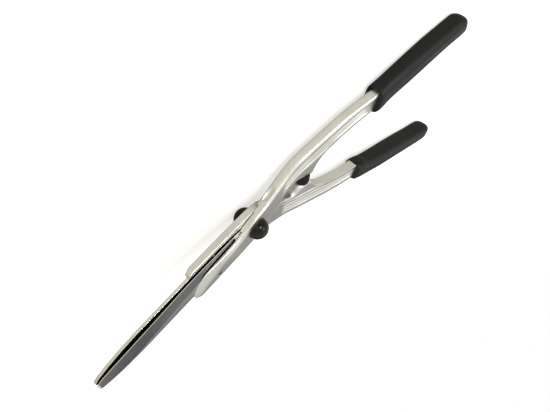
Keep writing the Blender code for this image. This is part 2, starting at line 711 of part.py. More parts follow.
def build():
    clear_scene()
    root = bpy.data.objects.new("shears_root", None)
    bpy.context.scene.collection.objects.link(root)
    root.rotation_euler = (0.0, CRANK, 0.0)
    looks = make_looks()
    build_arm("arm_upper", 1, looks["arm"], root)
    build_arm("arm_lower", -1, looks["arm"], root)
    build_blade("blade_upper", False, looks["blade"], root)
    build_blade("blade_lower", True, looks["blade"], root)
    build_grip("grip_upper", False, UPPER_MOUTH, looks["grip"], root)
    build_grip("grip_lower", True, LOWER_MOUTH, looks["grip"], root)
    build_buffer(looks["buffer"], root)
    build_pivot(looks, root)
    build_blade_fixing("upper", False, looks, root)
    build_blade_fixing("lower", True, looks, root)
    settle(root)


build()
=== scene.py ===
"""Looks of the hedge shears: finer meshes of the visible pieces, their finishes, and the studio."""

import json
import math

import bmesh
import bpy
from mathutils import Matrix, Vector


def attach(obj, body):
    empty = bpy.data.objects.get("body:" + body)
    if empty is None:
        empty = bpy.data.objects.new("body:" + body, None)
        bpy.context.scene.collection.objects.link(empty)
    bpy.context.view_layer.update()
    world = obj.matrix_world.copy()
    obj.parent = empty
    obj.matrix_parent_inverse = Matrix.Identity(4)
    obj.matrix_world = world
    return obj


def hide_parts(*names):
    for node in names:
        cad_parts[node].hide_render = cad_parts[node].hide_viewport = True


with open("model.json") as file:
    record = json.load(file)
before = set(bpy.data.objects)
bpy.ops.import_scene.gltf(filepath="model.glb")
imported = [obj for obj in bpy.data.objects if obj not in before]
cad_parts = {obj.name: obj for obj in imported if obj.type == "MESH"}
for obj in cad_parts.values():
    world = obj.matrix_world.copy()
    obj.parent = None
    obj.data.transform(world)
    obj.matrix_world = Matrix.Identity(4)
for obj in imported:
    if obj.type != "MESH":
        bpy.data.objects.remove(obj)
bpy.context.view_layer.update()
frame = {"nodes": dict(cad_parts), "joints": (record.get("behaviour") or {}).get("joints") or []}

MM = 0.001
HINGE = frame["joints"][0]

# Overall layout, in millimetres, with the pivot axis along Z through the origin.
TIP_X = -254.0
NOSE_X = -107.5
GRIP_START = 187.0
GRIP_END = 343.5
TANG_END = 330.0
GAP = 0.3

# The handles leave the blade plane at the slope that the frame's hinge axis gives.
CRANK = math.atan2(HINGE["axis"][0], HINGE["axis"][2])
CRANK_START = 50.0
CRANK_SOFTNESS = 8.0

# Half lap at the pivot.
LAP_HALF = 9.2
LAP_RADIUS = 28.5
LAP_CLEARANCE = 0.15
ARM_HALF = 6.65
CROTCH_BOTTOM = -4.5
EASING = 1.2
TANG_HALF_WIDTH = 9.0
TANG_HALF = 5.0

# Plan edges of an arm whose handle is on the +Y side: (distance along X, Y).
HANDLE_EDGE = [
    (-107.5, -19.0), (-106.0, -13.0), (-102.0, -6.0), (-95.0, 0.5), (-86.0, 4.4), (-72.0, 6.2),
    (-55.0, 7.0), (-40.0, 8.2), (-27.0, 11.2), (-12.0, 16.8), (0.0, 22.0), (10.0, 24.5), (20.0, 27.0),
    (30.0, 31.5), (50.0, 41.5), (75.0, 55.1), (100.0, 64.4), (130.0, 74.3), (160.0, 82.0), (200.0, 86.5),
]
FRONT_EDGE = [
    (-107.5, -24.0), (-105.5, -25.8), (-99.0, -26.6), (-65.0, -26.2), (-33.0, -25.4), (-12.0, -24.3),
    (0.0, -23.0), (12.0, -20.5), (22.0, -16.0), (33.0, -8.6), (44.0, -0.4), (46.0, 0.9), (54.0, 6.2),
    (64.0, 13.4), (70.0, 15.2),
]
UPPER_LUG = [(76.0, 15.2), (84.0, 13.0), (92.0, 10.6), (99.0, 8.6)]
LOWER_LUG = [(74.0, 14.2), (80.0, 10.0), (84.0, 8.0), (99.0, 8.0)]
REAR_EDGE = [
    (101.5, 12.5), (104.0, 18.5), (108.0, 25.0), (114.0, 32.0), (122.0, 38.5), (130.0, 43.4),
    (160.0, 53.4), (200.0, 60.5),
]
RIB_EDGE = [(46.0, 12.0), (60.0, 18.0), (75.0, 25.0), (100.0, 32.5), (122.0, 40.5), (130.0, 45.0)]

# Blade holder: the ridge of its front face, and its lip's height over the blade, lower at the nose.
RIDGE_LINE = [
    (-107.5, -25.0), (-102.0, -23.0), (-90.0, -17.0), (-75.0, -10.5), (-58.0, -3.6), (-42.0, 0.9),
    (-26.0, 4.0), (-14.0, 10.0), (-6.0, 14.5),
]
LIP = 3.0
NOSE_LIP = 1.0

# Middle line of a grip.
GRIP_LINE = [(187.0, 73.5), (230.0, 86.3), (270.0, 96.3), (310.0, 105.6), (343.5, 113.4)]

# Ribbed pocket across the front face, from the outer edge inwards: (fraction, depth).
RIBS = [
    (0.02, 0.0), (0.09, 0.0), (0.14, 1.0), (0.22, 1.0), (0.27, 0.25), (0.36, 0.25), (0.41, 1.0),
    (0.49, 1.0), (0.54, 0.25), (0.66, 0.25), (0.71, 1.0), (0.80, 1.0), (0.85, 0.0), (0.98, 0.0),
]
RIB_DEPTH = 1.5
RIB_STEPS = 7
WEB_DROP = 0.7

# Rounding of an arm's long edges, on its blade holder, on its handle and by the buffer's cup, and how
# far the front face falls at the nose.
HOLDER_INNER_ROUND = 2.4
HANDLE_INNER_ROUND = 2.2
HOLDER_OUTER_ROUND = 1.2
HANDLE_OUTER_ROUND = 6.2
LUG_ROUND = 4.5
NOSE_DROP = 2.2

# Blades: plan edges of the blade carried by that same arm.
BLADE_THICK = 3.8
CUTTING_LAND = 0.35
BEVEL_LINE = [
    (-254.0, -6.0), (-238.0, -12.6), (-215.0, -15.6), (-190.0, -13.5), (-155.0, -7.5), (-134.0, -4.0),
    (-107.0, -0.5), (-60.0, 2.5), (-30.0, 4.0),
]
EYE_RADIUS = 13.0
CUTTING_EDGE = [
    (-254.0, 3.0), (-240.0, 4.2), (-212.0, 6.2), (-176.0, 8.6), (-150.0, 10.8), (-120.0, 13.2),
    (-90.0, 13.8), (-60.0, 13.0), (-30.0, 12.6), (-16.0, 12.6), (0.0, 13.0),
]
SPINE_EDGE = [
    (-254.0, -8.5), (-245.0, -11.0), (-232.0, -15.0), (-210.0, -19.0), (-180.0, -21.2), (-110.0, -21.4),
    (-60.0, -20.8), (-30.0, -17.0), (-12.0, -13.2), (0.0, -13.0),
]
TIP_ROUNDING = 9.0

# Pivot stack.
BUSH_RADIUS = 6.0
RUNNING_CLEARANCE = 0.08
BOLT_RADIUS = 4.0
HEX_FLATS = 13.0
CAP_RADIUS = 13.8
CAP_HEIGHT = 12.8
CAP_WALL = 1.2
SEAT_THICK = 1.2
STACK_GAP = 0.1
SEAT_RADIUS = 14.2

# Blade screws and the rubber buffer.
SCREW_X = -67.0
SCREW_Y = -17.5
SCREW_RADIUS = 2.0
SCREW_HEAD_RADIUS = 3.6
SCREW_SEAT = 7.6
SCREW_TOP = 9.4
SOCKET_RADIUS = 1.6
SOCKET_DEPTH = 1.1
BUFFER_X = 91.0
BUFFER_Y = -1.5
BUFFER_RADIUS = 8.8
BUFFER_BACK = 11.6
STEM_RADIUS = 4.0
STEM_END = 21.0

# Grips: half sizes along the grip, (fraction of length, millimetres).
GRIP_OUTER_SIDE = [
    (0.0, 13.4), (0.03, 13.8), (0.12, 14.8), (0.30, 15.2), (0.60, 15.0), (0.90, 14.2), (1.0, 13.6),
]
GRIP_INNER_SIDE = [
    (0.0, 16.4), (0.03, 16.7), (0.12, 15.0), (0.34, 15.6), (0.58, 14.8), (0.76, 13.8), (0.90, 14.6),
    (1.0, 14.0),
]
GRIP_TOP = [
    (0.0, 13.6), (0.03, 14.0), (0.12, 13.4), (0.35, 13.0), (0.60, 12.1), (0.90, 11.4), (1.0, 10.8),
]
GRIP_ARCH = 2.6

# Slant of the grips' mouths: shift along X at (outer bottom, outer top, inner top, inner bottom).
UPPER_MOUTH = (15.0, 12.0, -1.0, -1.0)
LOWER_MOUTH = (2.0, -2.5, -4.5, -3.5)
MOUTH_FADE = 35.0
GRIP_SLOPE = 0.26
GRIP_ROUNDING = 0.075
GRIP_CORNER = 11.4
BORE_GAP = 0.5


def mix(a, b, share):
    return a + (b - a) * share


def smooth(start, end, x):
    share = min(max((x - start) / (end - start), 0.0), 1.0)
    return share * share * (3.0 - 2.0 * share)


def slope_at(points, k):
    """Slope of the curve at point k: level at a turn, so that the curve never overshoots."""
    steps = [(b[1] - a[1]) / (b[0] - a[0]) for a, b in zip(points, points[1:])]
    if k == 0 or k == len(points) - 1:
        return steps[min(k, len(steps) - 1)]
    before, after = steps[k - 1], steps[k]
    if before * after <= 0.0:
        return 0.0
    return 2.0 * before * after / (before + after)


def along(points, x):
    """Value at x of the smooth curve through the points, held beyond its ends."""
    if x <= points[0][0]:
        return points[0][1]
    if x >= points[-1][0]:
        return points[-1][1]
    k = max(i for i in range(len(points) - 1) if points[i][0] <= x)
    (x0, y0), (x1, y1) = points[k], points[k + 1]
    t = (x - x0) / (x1 - x0)
    rise = slope_at(points, k) * (x1 - x0)
    fall = slope_at(points, k + 1) * (x1 - x0)
    bend = (t**3 - 2 * t**2 + t) * rise + (t**3 - t**2) * fall
    return (2 * t**3 - 3 * t**2 + 1) * y0 + (3 * t**2 - 2 * t**3) * y1 + bend


def crank_height(x):
    """Height of the handles' middle plane over the blade plane."""
    return math.tan(CRANK) * CRANK_SOFTNESS * math.log1p(math.exp((x - CRANK_START) / CRANK_SOFTNESS))


def rounded(corners, points_each):
    """The closed outline of the corners (x, y, z, rounding), each rounding a short curve."""
    outline = []
    for i, (*place, size) in enumerate(corners):
        corner = Vector(place)
        before = Vector(corners[i - 1][:3]) - corner
        after = Vector(corners[(i + 1) % len(corners)][:3]) - corner
        if size == 0.0:
            outline.append(tuple(corner))
            continue
        start = corner + before.normalized() * min(size, before.length * 0.49)
        end = corner + after.normalized() * min(size, after.length * 0.49)
        for step in range(points_each):
            t = step / (points_each - 1)
            outline.append(tuple(start * (1 - t) ** 2 + corner * (2 * t * (1 - t)) + end * t**2))
    return outline


def spread(start, end, spacing):
    count = max(1, round((end - start) / spacing))
    return [start + (end - start) * i / count for i in range(count)]


PLACE = Matrix.Translation(Vector(HINGE["pos_m"])) @ Matrix.Rotation(CRANK, 4, "Y")
ARC = 8


def soften(mesh, angle):
    mesh.shade_smooth()
    mesh.set_sharp_from_angle(angle=math.radians(angle))


def mesh_of(name, points, faces, angle=30.0):
    """Mesh from millimetre points about the pivot, its faces turned outwards."""
    mesh = bpy.data.meshes.new(name)
    mesh.from_pydata([Vector(point) * MM for point in points], [], faces)
    turned_out = bmesh.new()
    turned_out.from_mesh(mesh)
    bmesh.ops.recalc_face_normals(turned_out, faces=turned_out.faces)
    turned_out.to_mesh(mesh)
    turned_out.free()
    soften(mesh, angle)
    return mesh


def loft(name, rings, angle=30.0):
    """Closed mesh through rings that have equal numbers of points."""
    count = len(rings[0])
    points = [point for ring in rings for point in ring]
    faces = [list(range(count)), list(range((len(rings) - 1) * count, len(rings) * count))]
    for r in range(len(rings) - 1):
        for i in range(count):
            j = (i + 1) % count
            faces.append([r * count + i, r * count + j, (r + 1) * count + j, (r + 1) * count + i])
    return mesh_of(name, points, faces, angle)


def turned(name, profile, place=None, segments=96, closed=False, hexagonal=(), angle=30.0):
    """Mesh turned about Z. The profile (r, z) starts and ends on the axis, or closes on itself.

    place takes each finished point to where it belongs. The rings whose numbers are in hexagonal
    have six flats at r instead of a round.
    """
    points, rings = [], []
    for number, (r, z) in enumerate(profile):
        rings.append((len(points), r))
        for i in range(segments if r > 0.0 else 1):
            turn = 2.0 * math.pi * i / segments
            reach = r
            if number in hexagonal:
                reach = r / math.cos((turn + math.pi / 6) % (math.pi / 3) - math.pi / 6)
            points.append((reach * math.cos(turn), reach * math.sin(turn), z))
    pairs = list(zip(rings, rings[1:]))
    if closed:
        pairs.append((rings[-1], rings[0]))
    faces = []
    for (a, a_r), (b, b_r) in pairs:
        for i in range(segments):
            j = (i + 1) % segments
            if a_r == 0.0:
                faces.append([a, b + i, b + j])
            elif b_r == 0.0:
                faces.append([a + i, a + j, b])
            else:
                faces.append([a + i, a + j, b + j, b + i])
    if place:
        points = [place(*point) for point in points]
    return mesh_of(name, points, faces, angle)


def half_turn(x, y, z):
    """From the upper half of the lap to the lower."""
    return (x, -y, -z)


def as_built(x, y, z):
    return (x, y, z)


def at(place, x, y):
    """The place, for a mesh turned about an axis at (x, y)."""
    return lambda px, py, pz: place(px + x, py + y, pz)


def drum(x, y, radius, low, high, place):
    return turned("cutter", [(0.0, low), (radius, low), (radius, high), (0.0, high)], at(place, x, y))


def piece(name, mesh, look):
    obj = bpy.data.objects.new(name, mesh)
    bpy.context.scene.collection.objects.link(obj)
    mesh.materials.append(look)
    return obj


def weld(mesh):
    """Joins the points that a cut leaves within a micrometre of each other."""
    joined = bmesh.new()
    joined.from_mesh(mesh)
    bmesh.ops.remove_doubles(joined, verts=joined.verts, dist=1e-6)
    bmesh.ops.dissolve_degenerate(joined, edges=joined.edges, dist=1e-6)
    joined.to_mesh(mesh)
    joined.free()


def even_shading(obj):
    """Lets the large faces round a cut set the shading, so that it shows no blotches."""
    modifier = obj.modifiers.new("even_shading", "WEIGHTED_NORMAL")
    modifier.keep_sharp = True
    modifier.weight = 80


def carve(obj, cutters, angle=30.0):
    """Cuts the meshes out of the object for good."""
    helpers = []
    for mesh in cutters:
        helper = bpy.data.objects.new("cutter", mesh)
        bpy.context.scene.collection.objects.link(helper)
        helpers.append(helper)
        modifier = obj.modifiers.new("cut", "BOOLEAN")
        modifier.operation = "DIFFERENCE"
        modifier.solver = "EXACT"
        modifier.object = helper
    graph = bpy.context.evaluated_depsgraph_get()
    done = bpy.data.meshes.new_from_object(obj.evaluated_get(graph))
    obj.modifiers.clear()
    obj.data = done
    weld(done)
    soften(done, angle)
    even_shading(obj)
    for helper in helpers:
        bpy.data.objects.remove(helper)


# Arms.


def blade_edge(x, crank):
    return along(FRONT_EDGE + (UPPER_LUG if crank > 0 else LOWER_LUG) + REAR_EDGE, x)


def square_up(x, y, z, crank):
    """Turns a handle's cross-section, in the handle's plane, until it is square with the grip."""
    back = GRIP_SLOPE * smooth(120.0, GRIP_START, x) * (y - along(GRIP_LINE, x))
    return (x - back, y, z - crank * math.tan(CRANK) * back)


def above(floor, height):
    """The height, eased so that it never falls below the floor."""
    return floor + EASING * math.log1p(math.exp((height - floor) / EASING))


def arm_faces(x, crank):
    """Plan edges and face heights of an arm at x: outer, inner, top, bottom."""
    slim = smooth(196.0, 212.0, x)
    line = along(GRIP_LINE, x)
    outer = mix(along(HANDLE_EDGE, x), line + TANG_HALF_WIDTH, slim)
    inner = mix(blade_edge(x, crank), line - TANG_HALF_WIDTH, slim)
    half = mix(ARM_HALF, TANG_HALF, slim)
    leave = smooth(14.0, 50.0, x)
    front = mix(LAP_HALF, above(LAP_HALF, crank_height(x) + half), leave)
    back = above(CROTCH_BOTTOM, crank_height(x) - half)
    top, bottom = (front, back) if crank > 0 else (mix(LAP_HALF, -back, leave), -front)
    if x < 4.0:
        bottom = LAP_CLEARANCE
    return outer, inner, top, bottom


def top_height(x, y, outer, top):
    """The top face: flat on a handle, and falling towards the cutting side on a blade holder."""
    fall = smooth(-4.0, -28.0, x)
    ridge = along(RIDGE_LINE, x)
    if y <= ridge or fall == 0.0:
        return top
    share = min((y - ridge) / (outer - ridge), 1.0)
    low = BLADE_THICK + mix(NOSE_LIP, LIP, smooth(-96.0, -62.0, x))
    return mix(top, mix(top, low, share**1.25), fall)


def fine_ribs():
    """The ribbed pocket's profile as soft waves, from the middle of one land or groove to the next."""
    lands = zip(RIBS[::2], RIBS[1::2])
    middles = [((a + b) / 2, depth) for (a, depth), (b, _) in lands]
    middles[0], middles[-1] = RIBS[1], RIBS[-2]
    profile = [RIBS[0]]
    for (a, a_depth), (b, b_depth) in zip(middles, middles[1:]):
        for step in range(RIB_STEPS):
            share = step / RIB_STEPS
            profile.append((mix(a, b, share), mix(a_depth, b_depth, smooth(0.0, 1.0, share))))
    return profile + RIBS[-2:]


FINE_RIBS = fine_ribs()


def arm_ring(x, crank):
    """Cross-section of an arm at x, with rounded edges and ribs on the handle's front face."""
    outer, inner, top, bottom = arm_faces(x, crank)
    top -= NOSE_DROP * smooth(-98.0, NOSE_X, x)
    width = outer - inner
    inner_round = mix(HOLDER_INNER_ROUND, HANDLE_INNER_ROUND, smooth(0.0, 30.0, x))
    inner_round = min(inner_round, width * 0.2)
    outer_round = mix(HOLDER_OUTER_ROUND, HANDLE_OUTER_ROUND, smooth(-30.0, 30.0, x))
    outer_round = min(outer_round, width * 0.24)
    web = smooth(44.0, 54.0, x) * (1.0 - smooth(120.0, 129.0, x))
    rim = mix(inner + inner_round + 0.4, along(RIB_EDGE, x), web)
    depth = RIB_DEPTH * smooth(46.0, 60.0, x) * (1.0 - smooth(174.0, 184.0, x))
    edge_top = top_height(x, outer, outer, top)
    start = outer - outer_round
    front = 1.0 if crank > 0 else 0.0
    upper = [(start + (rim - start) * f, d * depth * front) for f, d in FINE_RIBS]
    lower = [(start + (rim - start) * f, d * depth * (1.0 - front)) for f, d in FINE_RIBS]
    drop = WEB_DROP * web
    web_top = top - drop * front
    web_bottom = bottom + drop * (1.0 - front)
    corners = [(outer, bottom, outer_round), (outer, edge_top, outer_round)]
    corners += [(y, top_height(x, y, outer, top) - d, 0.0) for y, d in upper]
    corners += [(rim - 0.3, web_top, 0.0), (inner, web_top, inner_round)]
    cup = (1.0 - front) * smooth(50.0, 62.0, x) * (1.0 - smooth(98.0, 106.0, x))
    lug_round = inner_round + LUG_ROUND * cup
    corners += [(inner, web_bottom, lug_round), (rim - 0.3, web_bottom, 0.0)]
    corners += [(y, bottom + d, 0.0) for y, d in reversed(lower)]
    return [square_up(*point, crank) for point in rounded([(x, *corner) for corner in corners], ARC)]


def arm_stations():
    nose = [NOSE_X + 6.5 * (1.0 - math.cos(math.pi / 2 * k / 12)) for k in range(12)]
    lap = spread(-101.0, 3.9, 2.6) + [3.95, 4.05] + spread(6.0, 44.0, 2.0)
    lugs = spread(44.0, 116.0, 1.6)
    handle = spread(116.0, 168.0, 4.0) + spread(168.0, 214.0, 1.5)
    return nose + lap + lugs + handle + spread(214.0, TANG_END, 30.0) + [TANG_END]


def blade_bounds(x, grow):
    """Spine and cutting edge of a blade at x, both pushed out by grow."""
    spine = along(SPINE_EDGE, x)
    edge = along(CUTTING_EDGE, x)
    if x < TIP_X + TIP_ROUNDING:
        share = (x - TIP_X) / TIP_ROUNDING
        size = math.sqrt(max(1.0 - (1.0 - share) ** 2, 0.004))
        middle = mix(spine, edge, 0.5)
        spine, edge = mix(middle, spine, size), mix(middle, edge, size)
    if x > 0.0:
        reach = math.sqrt(max(EYE_RADIUS**2 - x**2, 1.0))
        spine, edge = -reach, reach
    return spine - grow, edge + grow


def seat_cutter(place):
    rings = []
    places = spread(-135.0, 0.0, 2.5)
    places += [EYE_RADIUS * math.sin(a * math.pi / 40) for a in range(20)] + [EYE_RADIUS + GAP]
    for x in places:
        spine, edge = blade_bounds(x, GAP + 0.05)
        ceiling = LAP_CLEARANCE + BLADE_THICK + GAP
        ring = [(x, edge, -1.0), (x, edge, ceiling), (x, spine, ceiling), (x, spine, -1.0)]
        rings.append([place(*point) for point in ring])
    return loft("cutter", rings)


def tongue_cutter(crank, place):
    rings = []
    for x in spread(6.0, 47.0, 2.5) + [47.0]:
        reach = -blade_edge(x, -crank) + 0.5
        low = blade_edge(x, crank) - 4.0
        ring = [(x, reach, -14.0), (x, reach, LAP_CLEARANCE), (x, low, LAP_CLEARANCE), (x, low, -14.0)]
        rings.append([place(*point) for point in ring])
    return loft("cutter", rings)


def scoop_cutter(place):
    turn = math.radians(27.0)

    def lay(x, y, z):
        x, y, z = x * 13.0, y * 4.6, z * 5.2
        return place(
            x * math.cos(turn) - y * math.sin(turn) + 30.0,
            x * math.sin(turn) + y * math.cos(turn) + 33.9,
            z + 1.0,
        )

    profile = [(0.0, -1.0)]
    profile += [(math.sin(math.pi * k / 24), -math.cos(math.pi * k / 24)) for k in range(1, 24)]
    return turned("cutter", profile + [(0.0, 1.0)], lay, 48)


def counterbore(place):
    """Cutter for the recess of a blade screw's head, flared at its mouth."""
    head = SCREW_HEAD_RADIUS + 0.4
    profile = [(0.0, 6.6), (head, 6.6), (head, 8.7), (head + 0.7, 9.4), (head + 0.7, 20.0), (0.0, 20.0)]
    return turned("cutter", profile, at(place, SCREW_X, SCREW_Y), 64)


def buffer_cup():
    """Cutter for the hollow that takes the buffer's round nose."""
    radius = BUFFER_RADIUS + GAP
    profile = [(0.0, -radius)]
    for k in range(1, 24):
        turn = math.pi * k / 24
        profile.append((radius * math.sin(turn), -radius * math.cos(turn)))
    profile.append((0.0, radius))
    centre = (BUFFER_X, BUFFER_Y, crank_height(BUFFER_X))
    return turned("cutter", profile, lambda x, y, z: (x + centre[0], y + centre[1], z + centre[2]), 64)


def along_y(x, y, z):
    """Lays a mesh turned about Z along Y, at the buffer."""
    return (x + BUFFER_X, -z, y + crank_height(BUFFER_X))


def buffer_socket():
    head = BUFFER_RADIUS + GAP
    profile = [(0.0, -STEM_END - 0.4), (STEM_RADIUS + 0.15, -STEM_END - 0.4)]
    profile += [(STEM_RADIUS + 0.15, -BUFFER_BACK - GAP), (head, -BUFFER_BACK - GAP)]
    return turned("cutter", profile + [(head, 0.0), (0.0, 0.0)], along_y, 64)


def build_arm(name, crank, look):
    place = as_built if crank > 0 else half_turn
    rings = [[place(*point) for point in arm_ring(x, crank)] for x in arm_stations()]
    arm = piece(name + "_forging", loft(name + "_forging", rings), look)
    cutters = [
        drum(0.0, 0.0, LAP_RADIUS, -14.0, LAP_CLEARANCE, place),
        tongue_cutter(crank, place),
        seat_cutter(place),
        drum(0.0, 0.0, BUSH_RADIUS + RUNNING_CLEARANCE, -20.0, 20.0, place),
        drum(SCREW_X, SCREW_Y, SCREW_RADIUS + 0.2, 2.0, 20.0, place),
        counterbore(place),
        scoop_cutter(place),
        buffer_socket() if crank > 0 else buffer_cup(),
    ]
    carve(arm, cutters)
    return arm


# Blades.


def blade_ring(x):
    """Cross-section of a blade at x: flat inside, with a ground bevel and eased corners."""
    spine, edge = blade_bounds(x, 0.0)
    bevel = (edge - along(BEVEL_LINE, x)) * smooth(-10.0, -44.0, x) + 0.8
    bevel = min(bevel, (edge - spine) * 0.85)
    low = LAP_CLEARANCE
    high = low + BLADE_THICK
    land = mix(high - 0.8, low + CUTTING_LAND, smooth(-10.0, -30.0, x))
    easing = min(1.0, (edge - spine) * 0.1)
    corners = [(edge, low, 0.0), (edge, land, 0.0), (edge - 0.6 * easing, land + 0.4 * easing, 0.0)]
    corners += [(edge - bevel, high, 0.25 * easing)]
    corners += [(spine, high, 0.6 * easing), (spine, low, 0.3 * easing)]
    return rounded([(x, *corner) for corner in corners], 5)


def build_blade(name, place, looks):
    """The looks are those of the outside, the ground bevel with its dark grey painted dark reflection, the
    inside painted nearly black as painted dark reflection, and the edges.
    """
    tip = [TIP_X + TIP_ROUNDING * (1.0 - math.cos(a * math.pi / 40)) for a in range(20)]
    body = spread(TIP_X + TIP_ROUNDING, 0.0, 2.5)
    eye = [EYE_RADIUS * math.sin(a * math.pi / 40) for a in range(20)] + [EYE_RADIUS - 0.02]
    rings = [[place(*point) for point in blade_ring(x)] for x in tip + body + eye]
    blade = piece(name + "_steel", loft(name + "_steel", rings), looks[0])
    cutters = [
        drum(0.0, 0.0, BUSH_RADIUS + RUNNING_CLEARANCE, -8.0, 8.0, place),
        drum(SCREW_X, SCREW_Y, SCREW_RADIUS + 0.15, -8.0, 8.0, place),
    ]
    carve(blade, cutters)
    for look in looks[1:]:
        blade.data.materials.append(look)
    # Faces towards the other blade get the near-black painted dark reflection, and tilted outer faces get
    # the bevel's painted dark grey. The narrow sides get the edges' look, and the flat outside gets the
    # flat look.
    outwards = Vector(place(0.0, 0.0, 1.0))
    for face in blade.data.polygons:
        lean = face.normal.dot(outwards)
        face.material_index = 2 if lean < -0.9 else 3 if lean < 0.9 else 1 if lean < 0.9995 else 0
    return blade


# Grips.


def grip_underside(share):
    """Depth of a grip below its middle line. The rear end lies level with the rear pivot cover at rest."""
    base = LAP_HALF + SEAT_THICK + 2 * STACK_GAP
    dome = math.hypot(CAP_RADIUS * math.sin(CRANK), CAP_HEIGHT * math.cos(CRANK))
    ground = base * math.cos(CRANK) + dome - CRANK_START * math.sin(CRANK)
    return ground / math.cos(CRANK) - GRIP_ARCH * (1.0 - smooth(0.10, 0.72, share))


def slid(x, shifts):
    """The four places along X of a grip's corners, slanted at the mouth."""
    fade = 1.0 - smooth(GRIP_START, GRIP_START + MOUTH_FADE, x)
    return [x + fade * shift for shift in shifts]


def grip_outer_ring(x, size, shifts):
    corners = []
    for place, outwards, up in zip(slid(x, shifts), (1, 1, -1, -1), (-1, 1, 1, -1)):
        share = (place - GRIP_START) / (GRIP_END - GRIP_START)
        side = along(GRIP_OUTER_SIDE if outwards > 0 else GRIP_INNER_SIDE, share)
        height = along(GRIP_TOP, share) if up > 0 else grip_underside(share)
        y = along(GRIP_LINE, place) + outwards * side * size
        corners.append((place, y, crank_height(place) + up * height * size, GRIP_CORNER * size))
    return [square_up(*point, 1) for point in rounded(corners, 14)]


def grip_inner_ring(x, shifts):
    corners = []
    for place, outwards, up in zip(slid(x, shifts), (1, 1, -1, -1), (-1, 1, 1, -1)):
        outer, inner, top, bottom = arm_faces(place, 1)
        y = outer + BORE_GAP if outwards > 0 else inner - BORE_GAP
        corners.append((place, y, top + BORE_GAP if up > 0 else bottom - BORE_GAP, 2.4))
    return [square_up(*point, 1) for point in rounded(corners, 14)]


def build_grip(name, mirrored, shifts, look):
    bore = [TANG_END + 1.0] + spread(214.0, TANG_END, 30.0)[::-1] + spread(GRIP_START, 214.0, 2.5)[::-1]
    rings = [grip_inner_ring(x, shifts) for x in bore]
    outside = []
    for step in range(8):
        turn = math.pi / 2 * step / 8
        outside.append((0.018 * (1.0 - math.cos(turn)), 0.955 + 0.045 * math.sin(turn)))
    outside += [(share, 1.0) for share in spread(0.018, 1.0 - GRIP_ROUNDING, 0.012)]
    for step in range(28):
        turn = math.pi / 2 * step / 27.6
        outside.append((1.0 - GRIP_ROUNDING * (1.0 - math.sin(turn)), math.cos(turn)))
    rings += [grip_outer_ring(mix(GRIP_START, GRIP_END, share), size, shifts) for share, size in outside]
    if mirrored:
        rings = [[(x, -y, z) for x, y, z in ring] for ring in rings]
    return piece(name + "_sleeve", loft(name + "_sleeve", rings, 50.0), look)


# Pivot covers, buffer and blade screws.


def build_cap(name, place, look):
    """Domed cover with a fine bead round its rim, open towards the arm."""
    base = LAP_HALF + SEAT_THICK + 2 * STACK_GAP
    inner_radius = CAP_RADIUS - CAP_WALL
    inner_height = CAP_HEIGHT - CAP_WALL
    turns = [math.pi / 2 * k / 24 for k in range(1, 25)]
    profile = [(0.0, base + inner_height)]
    profile += [(inner_radius * math.sin(t), base + inner_height * math.cos(t)) for t in turns]
    bead = [(CAP_RADIUS + 0.25 * math.sin(t * 2), base + 0.5 - 0.5 * math.cos(t * 2)) for t in turns[::4]]
    profile += bead
    outer = [(CAP_RADIUS * math.sin(t), base + CAP_HEIGHT * math.cos(t)) for t in turns if t < 1.48]
    profile += outer[::-1] + [(0.0, base + CAP_HEIGHT)]
    return piece(name + "_shell", turned(name + "_shell", profile, place, angle=50.0), look)


def build_cap_seat(name, place, look):
    base = LAP_HALF + STACK_GAP
    ring = CAP_RADIUS - CAP_WALL - GAP
    top = base + SEAT_THICK
    profile = [(BOLT_RADIUS + 0.4, base), (SEAT_RADIUS - 0.3, base), (SEAT_RADIUS, base + 0.3)]
    for k in range(6):
        turn = math.pi / 2 * k / 5
        profile.append((SEAT_RADIUS - 0.4 + 0.4 * math.cos(turn), top - 0.4 + 0.4 * math.sin(turn)))
    profile += [(ring, top), (ring, top + 1.5), (ring - 0.1, top + 1.6), (ring - 1.1, top + 1.6)]
    profile += [(ring - 1.2, top + 1.5), (ring - 1.2, top), (BOLT_RADIUS + 0.4, top)]
    return piece(name + "_collar", turned(name + "_collar", profile, place, closed=True), look)


def build_buffer(look):
    profile = [(0.0, -STEM_END), (STEM_RADIUS - 0.6, -STEM_END), (STEM_RADIUS, -STEM_END + 0.8)]
    profile += [(STEM_RADIUS, -BUFFER_BACK)]
    for k in range(5):
        turn = math.pi / 2 * k / 4
        reach = BUFFER_RADIUS - 0.8 + 0.8 * math.sin(turn)
        profile.append((reach, -BUFFER_BACK + 0.8 - 0.8 * math.cos(turn)))
    for k in range(25):
        turn = math.pi / 2 * k / 24
        reach = BUFFER_RADIUS * math.cos(turn) if k < 24 else 0.0
        profile.append((reach, BUFFER_RADIUS * math.sin(turn) - BUFFER_Y))
    return piece("buffer_plug", turned("buffer_plug", profile, along_y, angle=50.0), look)


def build_screw(name, place, look):
    """Cap screw with a hexagon socket and a rounded head."""
    low, high = SCREW_SEAT, SCREW_TOP
    profile = [(0.0, 0.6), (SCREW_RADIUS - 0.3, 0.6), (SCREW_RADIUS, 0.9), (SCREW_RADIUS, low)]
    profile += [(SCREW_HEAD_RADIUS - 0.1, low), (SCREW_HEAD_RADIUS, low + 0.1)]
    for k in range(6):
        turn = math.pi / 2 * k / 5
        profile.append((SCREW_HEAD_RADIUS - 0.5 + 0.5 * math.cos(turn), high - 0.5 + 0.5 * math.sin(turn)))
    socket = len(profile)
    profile += [(SOCKET_RADIUS + 0.15, high), (SOCKET_RADIUS, high - 0.15)]
    profile += [(SOCKET_RADIUS, high - SOCKET_DEPTH), (0.0, high - SOCKET_DEPTH)]
    name += "_cap_screw"
    hexagonal = (socket, socket + 1, socket + 2)
    return piece(name, turned(name, profile, at(place, SCREW_X, SCREW_Y), 48, hexagonal=hexagonal), look)


# Finishes.


